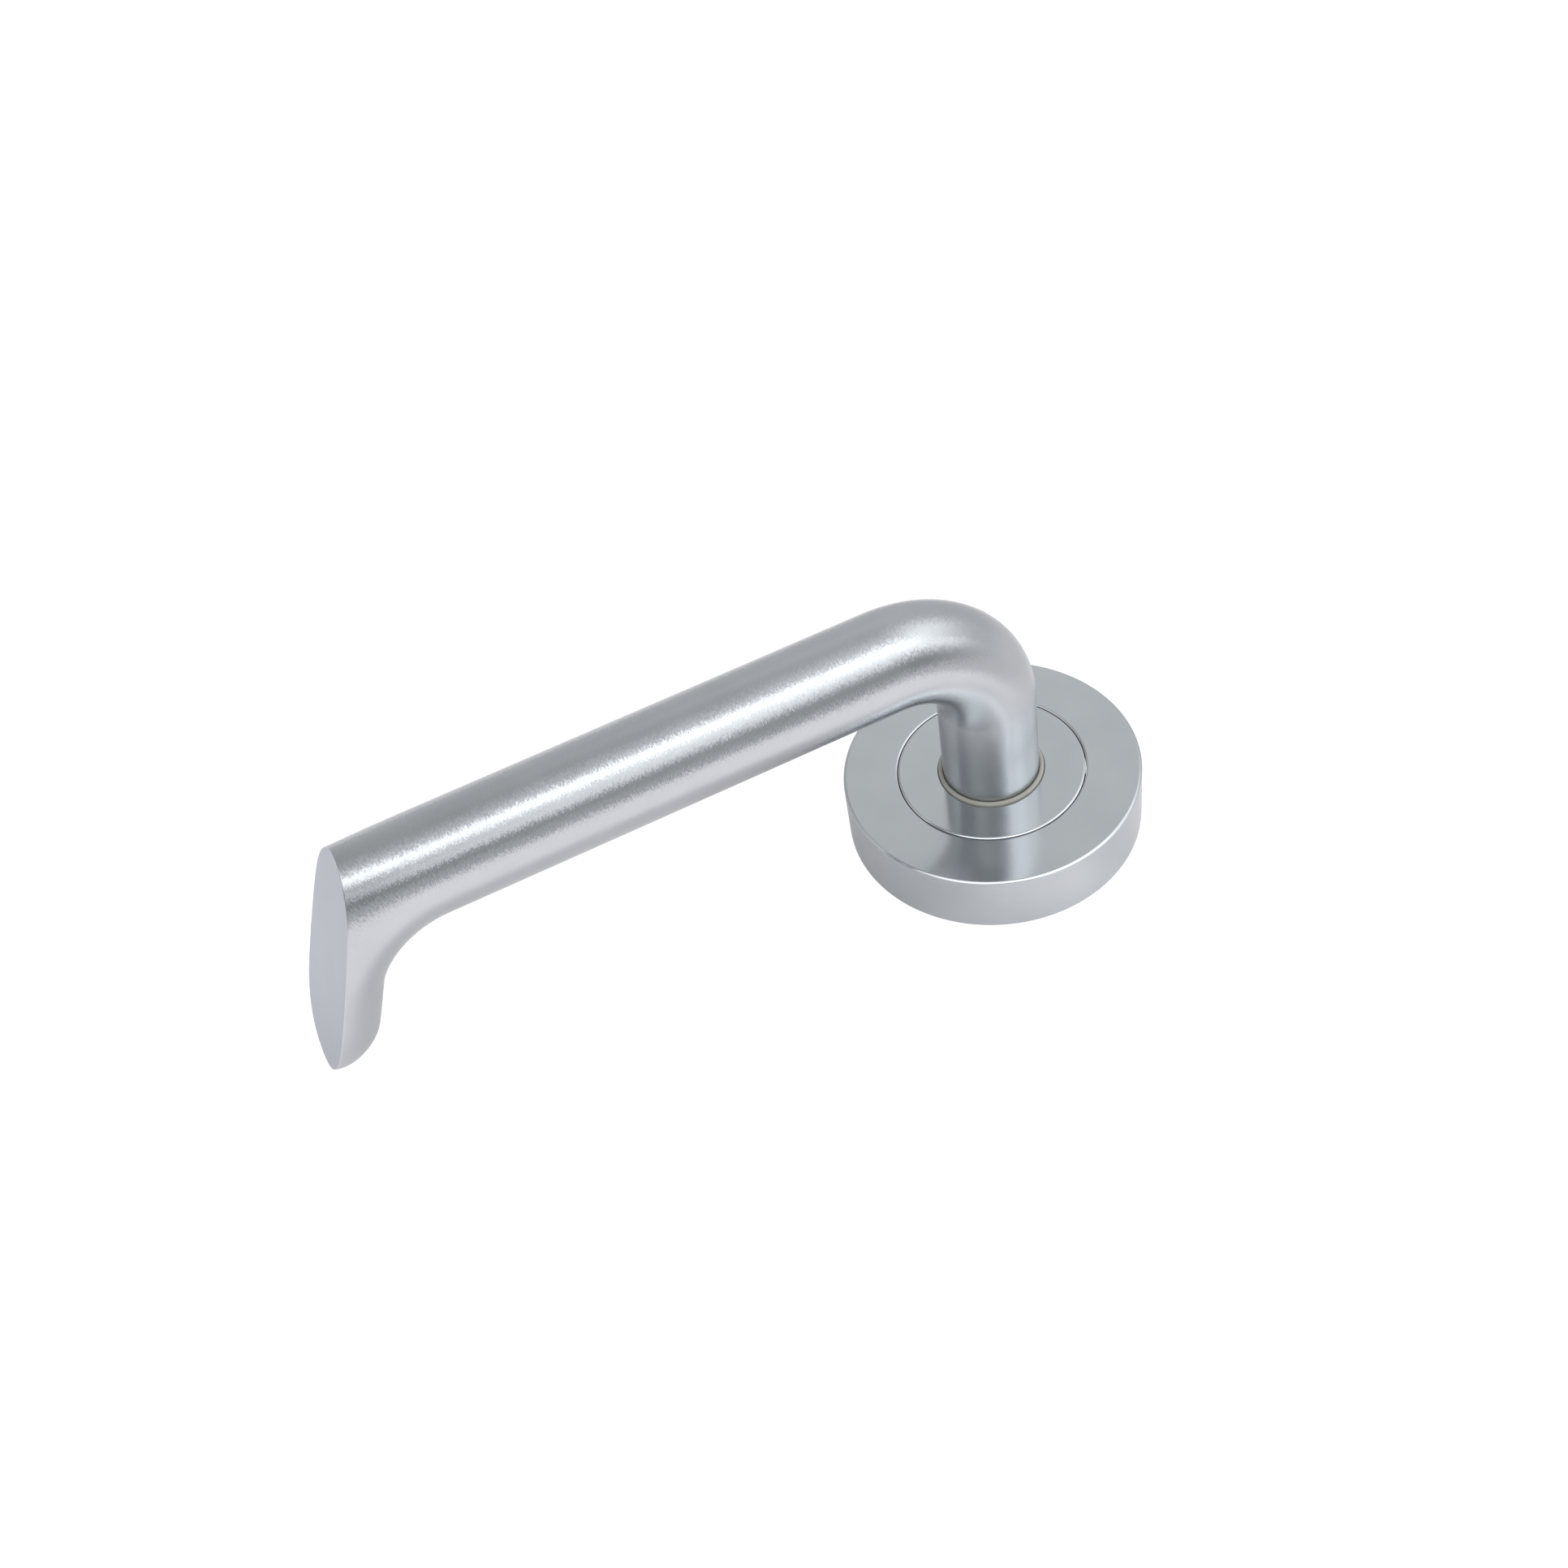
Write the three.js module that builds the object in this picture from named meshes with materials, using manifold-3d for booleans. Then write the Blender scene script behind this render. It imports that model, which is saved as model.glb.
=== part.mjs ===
// Door lever handle on a round rose, with its sprung bearing inside.
// Millimetres. The door's face is the plane z = 0 and +Z points out of the door.
// The spindle turns about the Z axis, and the grip points along -X.

import * as THREE from 'three';
import { mergeVertices } from 'three/addons/utils/BufferGeometryUtils.js';
import Module from 'manifold-3d';

const wasm = await Module();
wasm.setup();

// ---------- driving dimensions ----------

const GAP = 0.3;                  // clearance between neighbouring pieces
const PAST = 1;                   // how far a cutting tool passes the surface it cuts

// Rose: a cover ring around a centre disc, both flush with the top
const ROSE_R = 26;
const ROSE_H = 11.5;
const SHEET = 1.3;                // wall of the cover and of the centre disc
const SEAM_R = 16.4;              // middle of the seam between ring and disc
const SEAM_W = 0.5;
const EDGE = 0.45;                // broken edges of the rose

// Lever: one round bar, bent twice and ground flat at its end
const BAR_R = 8.4;
const AXIS_Z = 47.3;              // the grip's axis above the door
const BEND_R = 18;                // centre line of the bend above the rose
const END_X = -110.6;             // where the flat end crosses the grip's axis
const END_TILT = THREE.MathUtils.degToRad(21);
const END_BEND_R = 22;            // centre line of the bend into the return leg
const LEG_W = 9.7;                // half width of the return leg
const LEG_D = 8.6;                // its depth behind the flat end
const LEG_L = 32.5;               // its length below the grip's axis
const LEG_W_ROUND = 13;           // length over which its width rounds off
const LEG_W_POWER = 2.5;          // 2 rounds it as an ellipse, more is blunter
const LEG_D_ROUND = 8.5;          // length over which its depth rounds off
const LEG_D_POWER = 1.6;
const LEG_TOE = 0.19;             // slope of the leg's lower end
const LEG_TOE_FROM = 12;          // where that slope begins, below the grip's axis

// Neck and spindle
const NECK_END_Z = 4.9;
const SPINDLE_SIDE = 8;
const SPINDLE_Z0 = -20;
const SOCKET_TOP_Z = 26;
const GRUB_R = 2.5;
const GRUB_Z = 19;
const GRUB_KEY_AF = 2.5;
const GRUB_L = 3.4;
const GRUB_POINT = 0.7;           // bevel of its tip

// Inside the rose, from the door outwards
const BASE_R = 24.4;
const BASE_T = 2.2;
const FIXING_R = 19;              // the fixings stand on a circle of 38 mm
const ROTOR_R = 12.1;
const ROTOR_Z0 = BASE_T + GAP;
const ROTOR_Z1 = NECK_END_Z - GAP;
const ROTOR_FOOT_DEPTH = 2.6;     // depth of the arc that takes the spring's foot
const CLIP_R = 10.6;
const CLIP_T = 0.6;
const CLIP_MOUTH = 4.8;           // opening of the clip
const GROOVE_R = 7.3;
const GROOVE_Z0 = 5.55;
const GROOVE_Z1 = 6.75;
const WASHER_R = 11.4;
const WASHER_T = 0.2;
const WASHER_WAVE = 0.12;
const WASHER_WAVES = 3;
const WASHER_Z = 6.98;
const BUSH_R = 9.25;
const BUSH_FLANGE_R = 12;
const BUSH_FLANGE_Z0 = 7.5;
const BUSH_FLANGE_Z1 = 8.4;
const BEAD_H = 0.6;               // the bush's bead above the rose
const BEAD_ROUND = 0.3;           // broken edges of the bead
const HOUSING_R = 15;
const HOUSING_WALL = 1;
const HOUSING_TOP_Z0 = 8.7;
const HOUSING_TOP_Z1 = ROSE_H - SHEET - GAP;

// Return spring and its stops
const TRAVEL = THREE.MathUtils.degToRad(40);
const WIRE_R = 0.6;
const COIL_R = 13;
const COIL_TURNS = 2.75;
const COIL_Z0 = 3.5;
const COIL_Z1 = 7.55;
const COIL_BEND = 1.4;            // room in which the wire turns into its foot and head
const FOOT_R = 10.1;              // where the foot ends, inside the rotor's arc
const HEAD_R = 15.4;              // where the head ends, outside the housing
const STOP_R = 1;
const STOP_CIRCLE_R = 10.6;
const STOP_ANGLES = [Math.PI / 2, (3 * Math.PI) / 2];
const SPRING_FOOT_ANGLE = 0;
const SPRING_HEAD_ANGLE = SPRING_FOOT_ANGLE + COIL_TURNS * 2 * Math.PI;

// Fastenings
const EAR_ANGLES = [1, 3, 5, 7].map((quarter) => (quarter * Math.PI) / 4);
const EAR_R = 18.8;               // centres of the housing's screws
const EAR_HALF = 2.6;
const EAR_T = 2;
const SCREW_R = 1.25;
const SCREW_HEAD_R = 2.3;
const SCREW_HEAD_H = 1.5;
const SCREW_HEAD_EDGE = 0.4;
const SCREW_CROSS = [3, 0.6, 0.8]; // length, width and depth of the cross slots
const LUG_R = 3;
const LUG_FLANGE_R = 3.7;
const LUG_FLANGE_T = 1.4;
const LUG_BORE_R = 1.65;          // for an M4 thread
const LUG_Z0 = -4.5;
const WOOD_SCREW_R = 2.2;
const WOOD_SCREW_HEAD_R = 3.8;
const GRIP_RING_Z = 1.1;
const GRIP_RING_T = 0.4;
const GRIP_RING_IN = 0.4;         // how deep the ring sits in the base plate's rim
const GRIP_GROOVE_IN = 0.7;       // depth of its groove
const GRIP_RING_SPLIT = 3;

const RIM = 80;                   // sides of the rose's cover
const ROUND = 64;                 // sides of the other large round pieces
const SMALL = 18;                 // sides of the small round pieces

// ---------- solids ----------

function toSolid(geometry) {
  const bare = geometry.clone();
  bare.deleteAttribute('normal');
  bare.deleteAttribute('uv');
  const merged = mergeVertices(bare);
  const index = merged.index.array;
  const triangles = [];
  for (let i = 0; i < index.length; i += 3) {
    const [a, b, c] = [index[i], index[i + 1], index[i + 2]];
    if (a !== b && b !== c && c !== a) triangles.push(a, b, c);
  }
  return new wasm.Manifold(new wasm.Mesh({
    numProp: 3,
    vertProperties: Float32Array.from(merged.attributes.position.array),
    triVerts: Uint32Array.from(triangles),
  }));
}

function toGeometry(solid) {
  const mesh = solid.getMesh();
  const geometry = new THREE.BufferGeometry();
  geometry.setAttribute('position', new THREE.BufferAttribute(mesh.vertProperties, 3));
  geometry.setIndex(new THREE.BufferAttribute(mesh.triVerts, 1));
  geometry.computeVertexNormals();
  return geometry;
}

function cut(geometry, ...tools) {
  return toGeometry(tools.reduce((solid, tool) => solid.subtract(toSolid(tool)), toSolid(geometry)));
}

function join(geometry, ...others) {
  return toGeometry(others.reduce((solid, other) => solid.add(toSolid(other)), toSolid(geometry)));
}

// A turned solid about Z. The outline is a list of [radius, z] corners, given anticlockwise,
// and closes on itself.
function turned(outline, sides = ROUND) {
  const points = [...outline, outline[0]].map(([r, z]) => new THREE.Vector2(r, z));
  return new THREE.LatheGeometry(points, sides).rotateX(Math.PI / 2);
}

function ring(innerR, outerR, z0, z1, sides = ROUND) {
  return turned([[innerR, z0], [outerR, z0], [outerR, z1], [innerR, z1]], sides);
}

function rod(radius, z0, z1, sides = SMALL) {
  return new THREE.CylinderGeometry(radius, radius, z1 - z0, sides)
    .rotateX(Math.PI / 2)
    .translate(0, 0, (z0 + z1) / 2);
}

function block(x0, x1, y0, y1, z0, z1) {
  return new THREE.BoxGeometry(x1 - x0, y1 - y0, z1 - z0)
    .translate((x0 + x1) / 2, (y0 + y1) / 2, (z0 + z1) / 2);
}

// A slice of a ring between two angles about Z.
function sector(innerR, outerR, from, to, z0, z1) {
  const shape = new THREE.Shape();
  shape.absarc(0, 0, outerR, from, to, false);
  shape.absarc(0, 0, innerR, to, from, true);
  return new THREE.ExtrudeGeometry(shape, { depth: z1 - z0, bevelEnabled: false, curveSegments: 12 })
    .translate(0, 0, z0);
}

// A closed skin over a row of rings of equal length, with a flat fan at both ends.
function loft(rings) {
  const count = rings[0].length;
  const position = rings.flat().flatMap((p) => p.toArray());
  const index = [];
  for (let i = 0; i + 1 < rings.length; i += 1) {
    for (let j = 0; j < count; j += 1) {
      const a = i * count + j;
      const b = i * count + (j + 1) % count;
      index.push(a, b, b + count, a, b + count, a + count);
    }
  }
  const last = (rings.length - 1) * count;
  for (let j = 1; j + 1 < count; j += 1) {
    index.push(0, j + 1, j, last, last + j, last + j + 1);
  }
  const geometry = new THREE.BufferGeometry();
  geometry.setAttribute('position', new THREE.Float32BufferAttribute(position, 3));
  geometry.setIndex(index);
  return geometry;
}

// ---------- lever ----------

const END_TURN = Math.PI / 2 - END_TILT;                 // how far the grip turns into the leg
const END_BEND_RUN = END_BEND_R * Math.tan(END_TURN / 2); // from the bend's corner to its ends

// The bar's centre line in the XZ plane. heading is 0 where it points up and 90 degrees
// where it points along -X.
function leverStations() {
  const stations = [{ x: 0, z: NECK_END_Z, heading: 0 }];
  const bendSteps = 14;
  for (let i = 0; i <= bendSteps; i += 1) {
    const heading = (Math.PI / 2) * (i / bendSteps);
    stations.push({
      x: -BEND_R * (1 - Math.cos(heading)),
      z: AXIS_Z - BEND_R + BEND_R * Math.sin(heading),
      heading,
    });
  }
  const endSteps = 14;
  for (let i = 0; i <= endSteps; i += 1) {
    const turn = END_TURN * (i / endSteps);
    stations.push({
      x: END_X + END_BEND_RUN - END_BEND_R * Math.sin(turn),
      z: AXIS_Z - END_BEND_R * (1 - Math.cos(turn)),
      heading: Math.PI / 2 + turn,
    });
  }
  const legSteps = 12;
  for (let i = 1; i <= legSteps; i += 1) {
    const share = Math.sin((Math.PI / 2) * (i / legSteps));
    const along = THREE.MathUtils.lerp(END_BEND_RUN, LEG_L - 0.02, share);
    stations.push({
      x: END_X - Math.sin(END_TILT) * along,
      z: AXIS_Z - Math.cos(END_TILT) * along,
      heading: Math.PI / 2 + END_TURN,
      along,
    });
  }
  return stations;
}

// How much is left of a size near the leg's lower end.
function roundOff(along, length, power) {
  const share = THREE.MathUtils.clamp((along - LEG_L + length) / length, 0, 1);
  return (1 - share ** power) ** (1 / power);
}

// Cross-sections are two half ellipses: one on the inside of the bends, one on the outside.
// The outer one keeps the grip's top straight up to the flat end.
function leverRing({ x, z, heading, along = 0 }, sides = 40) {
  const turn = Math.max(0, heading - Math.PI / 2);
  const blend = THREE.MathUtils.smoothstep(turn, 0, END_TURN);
  const width = THREE.MathUtils.lerp(BAR_R, LEG_W, blend) * roundOff(along, LEG_W_ROUND, LEG_W_POWER);
  const inside = THREE.MathUtils.lerp(BAR_R, LEG_D, blend) * roundOff(along, LEG_D_ROUND, LEG_D_POWER);
  const outside = turn > 0 ? (AXIS_Z + BAR_R - z) / Math.cos(turn) : BAR_R;
  const toeShare = (along - LEG_TOE_FROM) / (LEG_L - LEG_TOE_FROM);
  const toe = LEG_TOE * THREE.MathUtils.clamp(toeShare, 0, 1) ** 2;
  const points = [];
  for (let j = 0; j < sides; j += 1) {
    const angle = (2 * Math.PI * (j + 0.5)) / sides;
    const out = Math.cos(angle) * (Math.cos(angle) > 0 ? outside : inside);
    const down = Math.max(0, -out) * toe;
    points.push(new THREE.Vector3(
      x + out * Math.cos(heading) - down * Math.sin(END_TILT),
      width * Math.sin(angle),
      z + out * Math.sin(heading) - down * Math.cos(END_TILT),
    ));
  }
  return points;
}

// Everything on the far side of the lever's flat end.
function endCutter() {
  const size = 120;
  return new THREE.BoxGeometry(size, size, size)
    .translate(-size / 2, 0, 0)
    .rotateY(END_TILT)
    .translate(END_X, 0, AXIS_Z);
}

function lever() {
  const half = SPINDLE_SIDE / 2 + GAP;
  const socket = block(-half, half, -half, half, NECK_END_Z - PAST, SOCKET_TOP_Z);
  const groove = ring(GROOVE_R, BAR_R + PAST, GROOVE_Z0, GROOVE_Z1);
  const grubHole = rod(GRUB_R + GAP, 0, BAR_R + PAST).rotateX(-Math.PI / 2).translate(0, 0, GRUB_Z);
  return cut(loft(leverStations().map((s) => leverRing(s))), endCutter(), socket, groove, grubHole);
}

function grubScrew() {
  const inner = SPINDLE_SIDE / 2 + GAP;
  const key = rod(GRUB_KEY_AF / Math.sqrt(3), GRUB_L - 2, GRUB_L + PAST, 6);
  const body = turned([
    [0, 0], [GRUB_R - GRUB_POINT, 0], [GRUB_R, GRUB_POINT], [GRUB_R, GRUB_L], [0, GRUB_L],
  ], SMALL);
  return cut(body, key).rotateX(-Math.PI / 2).translate(0, inner, GRUB_Z);
}

function spindle() {
  const half = SPINDLE_SIDE / 2;
  const square = [[-half, -half], [half, -half], [half, half], [-half, half]]
    .map(([x, y]) => new THREE.Vector2(x, y));
  const depth = SOCKET_TOP_Z - GAP - SPINDLE_Z0;
  return new THREE.ExtrudeGeometry(new THREE.Shape(square), {
    depth: depth - 2 * EDGE, bevelEnabled: true, bevelThickness: EDGE, bevelSize: EDGE,
    bevelOffset: -EDGE, bevelSegments: 1,
  }).translate(0, 0, SPINDLE_Z0 + EDGE);
}

// ---------- turning pieces inside the rose ----------

// The driven plate: a square hole for the spindle, two arcs for the stop pins and one for
// the spring's foot. It turns clockwise seen from outside, so each arc runs anticlockwise.
function rotor() {
  const half = SPINDLE_SIDE / 2 + GAP;
  const [z0, z1] = [ROTOR_Z0 - PAST, ROTOR_Z1 + PAST];
  const square = block(-half, half, -half, half, z0, z1);
  const room = (STOP_R + GAP) / STOP_CIRCLE_R;
  const footRoom = (WIRE_R + GAP) / (FOOT_R + 1);
  const bendRoom = COIL_BEND / COIL_R;
  const arcs = STOP_ANGLES.map((angle) => sector(
    STOP_CIRCLE_R - STOP_R - GAP, ROTOR_R + PAST, angle - room, angle + TRAVEL + room, z0, z1,
  ));
  const foot = sector(
    ROTOR_R - ROTOR_FOOT_DEPTH, ROTOR_R + PAST,
    SPRING_FOOT_ANGLE - footRoom, SPRING_FOOT_ANGLE + TRAVEL + footRoom + bendRoom, z0, z1,
  );
  return cut(ring(half / 2, ROTOR_R, ROTOR_Z0, ROTOR_Z1), square, ...arcs, foot);
}

// A ring that snaps into the neck's groove, with its gap towards the grip.
function circlip() {
  const middle = (GROOVE_Z0 + GROOVE_Z1) / 2;
  const mouth = block(
    -CLIP_R - PAST, -GROOVE_R / 2, -CLIP_MOUTH / 2, CLIP_MOUTH / 2, middle - PAST, middle + PAST,
  );
  return cut(ring(GROOVE_R + GAP, CLIP_R, middle - CLIP_T / 2, middle + CLIP_T / 2), mouth);
}

// A thin washer, waved round its rim.
function waveWasher() {
  const geometry = ring(BAR_R + GAP, WASHER_R, WASHER_Z - WASHER_T / 2, WASHER_Z + WASHER_T / 2);
  const position = geometry.attributes.position;
  for (let i = 0; i < position.count; i += 1) {
    const angle = Math.atan2(position.getY(i), position.getX(i));
    position.setZ(i, position.getZ(i) + WASHER_WAVE * Math.cos(WASHER_WAVES * angle));
  }
  return geometry;
}

// ---------- fixed pieces of the rose ----------

function neckBush() {
  const inner = BAR_R + GAP;
  const top = ROSE_H + BEAD_H;
  return turned([
    [inner, BUSH_FLANGE_Z0], [BUSH_FLANGE_R, BUSH_FLANGE_Z0], [BUSH_FLANGE_R, BUSH_FLANGE_Z1],
    [BUSH_R, BUSH_FLANGE_Z1], [BUSH_R, top - BEAD_ROUND], [BUSH_R - BEAD_ROUND, top],
    [inner + BEAD_ROUND / 2, top], [inner, top - BEAD_ROUND / 2],
  ]);
}

function roseCover() {
  const inner = SEAM_R + SEAM_W / 2;
  const wall = ROSE_R - SHEET;
  const under = ROSE_H - SHEET;
  return turned([
    [wall, 0], [ROSE_R, 0], [ROSE_R, ROSE_H - EDGE], [ROSE_R - EDGE, ROSE_H],
    [inner + EDGE / 2, ROSE_H], [inner, ROSE_H - EDGE / 2], [inner, under], [wall, under],
  ], RIM);
}

function centreDisc() {
  const inner = BUSH_R + GAP;
  const outer = SEAM_R - SEAM_W / 2;
  return turned([
    [inner, ROSE_H - SHEET], [outer, ROSE_H - SHEET], [outer, ROSE_H - EDGE / 2],
    [outer - EDGE / 2, ROSE_H], [inner, ROSE_H],
  ]);
}

// A shallow pot over the spring, with four ears for its screws and a slot for the spring's head.
function springHousing() {
  const inner = HOUSING_R - HOUSING_WALL;
  const z0 = BASE_T + GAP;
  const pot = turned([
    [inner, z0], [HOUSING_R, z0], [HOUSING_R, HOUSING_TOP_Z1], [BUSH_R + GAP, HOUSING_TOP_Z1],
    [BUSH_R + GAP, HOUSING_TOP_Z0], [inner, HOUSING_TOP_Z0],
  ]);
  const ears = EAR_ANGLES.map((angle) => join(
    block(HOUSING_R - HOUSING_WALL / 2, EAR_R, -EAR_HALF, EAR_HALF, z0, z0 + EAR_T),
    rod(EAR_HALF, z0, z0 + EAR_T).translate(EAR_R, 0, 0),
  ).rotateZ(angle));
  const holes = EAR_ANGLES.map((angle) => rod(SCREW_R + GAP, 0, HOUSING_TOP_Z0)
    .translate(EAR_R, 0, 0).rotateZ(angle));
  const slotHalf = WIRE_R + 2 * GAP;
  const slot = block(
    inner - PAST, HOUSING_R + PAST, -slotHalf, slotHalf, COIL_Z1 - slotHalf, COIL_Z1 + slotHalf,
  ).rotateZ(SPRING_HEAD_ANGLE);
  return cut(join(pot, ...ears), ...holes, slot);
}

function basePlate() {
  const hole = (radius, sides = SMALL) => rod(radius, -PAST, BASE_T + PAST, sides);
  const spindleHole = hole(SPINDLE_SIDE * Math.SQRT1_2 + 1, ROUND / 2);
  const lugHoles = [1, -1].map((side) => hole(LUG_R + GAP).translate(0, side * FIXING_R, 0));
  const woodScrewHoles = [1, -1].map((side) => turned([
    [0, -PAST], [WOOD_SCREW_R, -PAST], [WOOD_SCREW_R, BASE_T - WOOD_SCREW_HEAD_R + WOOD_SCREW_R],
    [WOOD_SCREW_HEAD_R + PAST, BASE_T + PAST], [0, BASE_T + PAST],
  ], SMALL).translate(side * FIXING_R, 0, 0));
  const screwHoles = EAR_ANGLES.map((angle) => hole(SCREW_R + GAP).translate(EAR_R, 0, 0).rotateZ(angle));
  const pinHoles = STOP_ANGLES.map((angle) => hole(STOP_R + GAP)
    .translate(STOP_CIRCLE_R, 0, 0).rotateZ(angle));
  const grooveR = BASE_R - GRIP_GROOVE_IN;
  const [grooveZ0, grooveZ1] = [-1, 1].map((side) => GRIP_RING_Z + side * (GRIP_RING_T / 2 + GAP));
  const plate = turned([
    [0, 0], [BASE_R, 0], [BASE_R, grooveZ0], [grooveR, grooveZ0], [grooveR, grooveZ1],
    [BASE_R, grooveZ1], [BASE_R, BASE_T], [0, BASE_T],
  ]);
  return cut(plate, spindleHole, ...lugHoles, ...woodScrewHoles, ...screwHoles, ...pinHoles);
}

// A split nylon ring in the plate's rim, which grips the cover.
function coverGripRing() {
  const outer = ROSE_R - SHEET - GAP / 3;
  const z0 = GRIP_RING_Z - GRIP_RING_T / 2;
  const split = block(BASE_R - PAST, ROSE_R, -GRIP_RING_SPLIT / 2, GRIP_RING_SPLIT / 2, 0, BASE_T)
    .rotateZ(Math.PI / 8);
  return cut(ring(BASE_R - GRIP_RING_IN, outer, z0, z0 + GRIP_RING_T), split);
}

// A threaded sleeve that stands in the door, for a bolt from the far side.
function fixingLug() {
  const z0 = BASE_T + GAP;
  return turned([
    [LUG_BORE_R, LUG_Z0], [LUG_R - EDGE, LUG_Z0], [LUG_R, LUG_Z0 + EDGE], [LUG_R, z0],
    [LUG_FLANGE_R, z0], [LUG_FLANGE_R, z0 + LUG_FLANGE_T], [LUG_BORE_R, z0 + LUG_FLANGE_T],
  ], SMALL);
}

function housingScrew() {
  const under = BASE_T + GAP + EAR_T + GAP;
  const top = under + SCREW_HEAD_H;
  const body = turned([
    [0, GAP], [SCREW_R, GAP], [SCREW_R, under], [SCREW_HEAD_R, under],
    [SCREW_HEAD_R, top - SCREW_HEAD_EDGE], [SCREW_HEAD_R - SCREW_HEAD_EDGE, top], [0, top],
  ], SMALL);
  const [length, width, depth] = SCREW_CROSS;
  const bar = () => block(-length / 2, length / 2, -width / 2, width / 2, top - depth, top + PAST);
  return cut(body, bar(), bar().rotateZ(Math.PI / 2));
}

function stopPin() {
  return rod(STOP_R, GAP, ROTOR_Z1 - GAP, SMALL);
}

// A coil of round wire, its foot turned in to the rotor and its head turned out to the housing.
function returnSpring() {
  const at = (radius, angle, z) => new THREE.Vector3(radius * Math.cos(angle), radius * Math.sin(angle), z);
  const stepsPerTurn = 32;
  const steps = Math.round(COIL_TURNS * stepsPerTurn);
  const bend = 0.15;
  const points = [
    at(FOOT_R, SPRING_FOOT_ANGLE, COIL_Z0),
    at(COIL_R - COIL_BEND, SPRING_FOOT_ANGLE, COIL_Z0),
  ];
  for (let i = 0; i <= steps; i += 1) {
    const share = i / steps;
    const angle = THREE.MathUtils.lerp(SPRING_FOOT_ANGLE + bend, SPRING_HEAD_ANGLE - bend, share);
    points.push(at(COIL_R, angle, THREE.MathUtils.lerp(COIL_Z0, COIL_Z1, share)));
  }
  points.push(at(COIL_R + COIL_BEND, SPRING_HEAD_ANGLE, COIL_Z1), at(HEAD_R, SPRING_HEAD_ANGLE, COIL_Z1));
  const wire = new THREE.Shape();
  wire.absarc(0, 0, WIRE_R, 0, 2 * Math.PI, false);
  return new THREE.ExtrudeGeometry(wire, {
    extrudePath: new THREE.CatmullRomCurve3(points, false, 'centripetal'),
    steps: steps + 8,
    curveSegments: 4,
    bevelEnabled: false,
  });
}

// ---------- assembly ----------

const FINISH = {
  satinSteel: { color: 0xb4b8bc, roughness: 0.32, metalness: 1 },
  turnedSteel: { color: 0xadb2b6, roughness: 0.28, metalness: 1 },
  plainSteel: { color: 0x9a9d9f, roughness: 0.45, metalness: 1 },
  darkSteel: { color: 0x3b3d40, roughness: 0.5, metalness: 1 },
  zinc: { color: 0x8f959b, roughness: 0.55, metalness: 0.9 },
  nylon: { color: 0xd8d4c4, roughness: 0.5, metalness: 0 },
};

const handle = new THREE.Group();

function add(name, geometry, finish) {
  const mesh = new THREE.Mesh(geometry, new THREE.MeshStandardMaterial(FINISH[finish]));
  mesh.name = name;
  handle.add(mesh);
  return mesh;
}

add('lever', lever(), 'satinSteel');
add('grub_screw', grubScrew(), 'darkSteel');
add('spindle', spindle(), 'plainSteel');
add('rotor', rotor(), 'plainSteel');
add('circlip', circlip(), 'darkSteel');
add('wave_washer', waveWasher(), 'plainSteel');
add('neck_bush', neckBush(), 'nylon');
add('rose_cover', roseCover(), 'turnedSteel');
add('centre_disc', centreDisc(), 'turnedSteel');
add('spring_housing', springHousing(), 'zinc');
add('base_plate', basePlate(), 'zinc');
add('cover_grip_ring', coverGripRing(), 'nylon');
add('return_spring', returnSpring(), 'plainSteel');
add('fixing_lug_upper', fixingLug(), 'plainSteel').position.y = -FIXING_R;
add('fixing_lug_lower', fixingLug(), 'plainSteel').position.y = FIXING_R;
EAR_ANGLES.forEach((angle, i) => {
  const screw = add(`housing_screw_${i + 1}`, housingScrew(), 'darkSteel');
  screw.position.set(EAR_R * Math.cos(angle), EAR_R * Math.sin(angle), 0);
  screw.rotation.z = angle;
});
STOP_ANGLES.forEach((angle, i) => {
  const pin = add(`stop_pin_${i + 1}`, stopPin(), 'plainSteel');
  pin.position.set(STOP_CIRCLE_R * Math.cos(angle), STOP_CIRCLE_R * Math.sin(angle), 0);
});

export default handle;
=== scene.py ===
"""A satin steel door lever on a round rose, lying with its rose on a pale floor."""

import math

import bmesh
import bpy
from mathutils import Euler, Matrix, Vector


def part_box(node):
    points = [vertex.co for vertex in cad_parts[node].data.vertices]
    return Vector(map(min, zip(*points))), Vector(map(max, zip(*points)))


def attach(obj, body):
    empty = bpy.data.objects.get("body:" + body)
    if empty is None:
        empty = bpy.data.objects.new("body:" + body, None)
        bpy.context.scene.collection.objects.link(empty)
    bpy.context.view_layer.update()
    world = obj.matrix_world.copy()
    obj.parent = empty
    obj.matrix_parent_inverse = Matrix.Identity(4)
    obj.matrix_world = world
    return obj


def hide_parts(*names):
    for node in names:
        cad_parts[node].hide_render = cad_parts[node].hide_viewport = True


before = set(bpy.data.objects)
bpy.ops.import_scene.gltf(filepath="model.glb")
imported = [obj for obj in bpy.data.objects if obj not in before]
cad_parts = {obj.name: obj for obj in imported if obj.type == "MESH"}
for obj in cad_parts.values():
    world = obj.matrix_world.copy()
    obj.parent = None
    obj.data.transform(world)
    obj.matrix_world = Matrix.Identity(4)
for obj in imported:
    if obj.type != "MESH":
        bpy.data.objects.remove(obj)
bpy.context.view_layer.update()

MM = 0.001

# ---------- the lever's measures, in mm, as the CAD model has them ----------

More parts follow.
